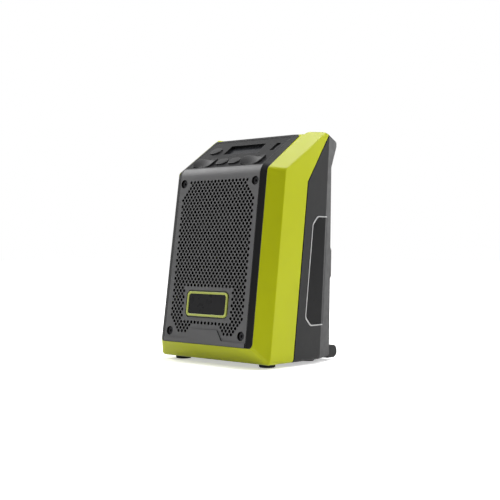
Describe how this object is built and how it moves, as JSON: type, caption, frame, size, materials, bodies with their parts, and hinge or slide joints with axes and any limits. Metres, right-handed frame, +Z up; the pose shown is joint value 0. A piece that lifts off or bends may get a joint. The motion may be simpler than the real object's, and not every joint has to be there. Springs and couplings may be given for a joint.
{
  "type": "jobsite radio",
  "caption": "Compact portable radio with a leaning perforated speaker grille, a sloping key panel with a display, and a rear slide-in battery socket.",
  "frame": {"origin": "under the middle of the bounding box, on the floor", "axes": "+X to the right as seen from the front, the front looks towards -Y, +Z up"},
  "size_m": [0.1198, 0.1018, 0.1837],
  "materials": {
    "green_shell": "fine moulded grain, yellow-green",
    "dark_shell": "fine moulded grain, near black",
    "grille_grey": "mid grey, perforated",
    "panel_grey": "dark grey",
    "plaque_dark": "smooth, near black",
    "plaque_light": "thin pale outline",
    "black_rubber": "matt",
    "black_cloth": "woven dust cloth",
    "badge_green": "satin yellow-green ring",
    "badge_black": "smooth black, bare",
    "key_black": "satin keys",
    "window": "smoked window",
    "display": "liquid crystal module",
    "board": "green circuit board",
    "cream_plastic": "natural nylon",
    "chip_black": "moulded black",
    "spider_cloth": "resin-treated cloth",
    "cone_paper": "pressed paper",
    "ferrite": "sintered ferrite",
    "steel": "zinc plated",
    "black_steel": "blackened",
    "aluminium": "extruded",
    "brass": "tinned brass",
    "copper": "enamelled copper wire",
    "lead_red": "insulated wire",
    "lead_black": "insulated wire",
    "lead_grey": "ribbon-cored cable"
  },
  "bodies": {
    "radio": {"mid_frame": "green_shell", "rear_housing": "dark_shell", "housing_gasket": "black_rubber", "housing_screws": "steel", "feet": "black_rubber", "side_plaque_left": "plaque_dark", "side_plaque_right": "plaque_dark", "plaque_trims": "plaque_light", "front_bezel": "dark_shell", "speaker_grille": "grille_grey", "dust_mesh": "black_cloth", "badge_surround": "badge_green", "badge_plate": "badge_black", "grille_screws": "black_steel", "control_panel": "panel_grey", "display_window": "window", "display_module": "display", "control_board": "board", "key_switches": "steel", "control_board_screws": "steel", "panel_connector": "cream_plastic", "speaker_gasket": "black_rubber", "speaker_surround": "black_rubber", "speaker_basket": "black_steel", "speaker_spider": "spider_cloth", "magnet_top_plate": "steel", "speaker_magnet": "ferrite", "magnet_yoke": "steel", "speaker_screws": "steel", "speaker_terminals": "brass", "battery_socket": "dark_shell", "terminal_block": "cream_plastic", "battery_contacts": "brass", "socket_screws": "black_steel", "main_board": "board", "main_board_screws": "steel", "board_chips": "chip_black", "tuner_module": "steel", "board_connectors": "cream_plastic", "capacitors": "chip_black", "heat_sink": "aluminium", "ferrite_rod": "ferrite", "antenna_coil": "copper", "battery_leads": "lead_red", "speaker_leads": "lead_black", "panel_cable": "lead_grey", "antenna_lead": "lead_black"},
    "preset_button_1": {"preset_button_1": "key_black"},
    "preset_button_2": {"preset_button_2": "key_black"},
    "power_button": {"power_button": "key_black"},
    "mode_button": {"mode_button": "key_black"},
    "volume_rocker": {"volume_rocker": "key_black"},
    "tuning_rocker": {"tuning_rocker": "key_black"},
    "cone_assembly": {"speaker_cone": "cone_paper", "voice_coil": "copper", "dust_cap": "cone_paper"}
  },
  "joints": [
    {"name": "preset_button_1_press", "type": "slide", "parent": "radio", "child": "preset_button_1", "axis": [0, 0.5592, -0.829], "range_m": [0, 0.0008], "stiffness_N_per_m": 1200},
    {"name": "preset_button_2_press", "type": "slide", "parent": "radio", "child": "preset_button_2", "axis": [0, 0.5592, -0.829], "range_m": [0, 0.0008], "stiffness_N_per_m": 1200},
    {"name": "power_button_press", "type": "slide", "parent": "radio", "child": "power_button", "axis": [0, 0.5592, -0.829], "range_m": [0, 0.0008], "stiffness_N_per_m": 1200},
    {"name": "mode_button_press", "type": "slide", "parent": "radio", "child": "mode_button", "axis": [0, 0.5592, -0.829], "range_m": [0, 0.0008], "stiffness_N_per_m": 1200},
    {"name": "volume_rocker_tilt", "type": "hinge", "parent": "radio", "child": "volume_rocker", "pos_m": [-0.0262, -0.0193, 0.15774], "axis": [0, 0.829, 0.5592], "range_deg": [-2.5, 2.5], "stiffness_Nm_per_rad": 0.5},
    {"name": "tuning_rocker_tilt", "type": "hinge", "parent": "radio", "child": "tuning_rocker", "pos_m": [0.0262, -0.0193, 0.15774], "axis": [0, 0.829, 0.5592], "range_deg": [-2.5, 2.5], "stiffness_Nm_per_rad": 0.5},
    {"name": "cone_excursion", "type": "slide", "parent": "radio", "child": "cone_assembly", "axis": [0, -0.9905, 0.1374], "range_m": [-0.001, 0.001], "stiffness_N_per_m": 800}
  ]
}
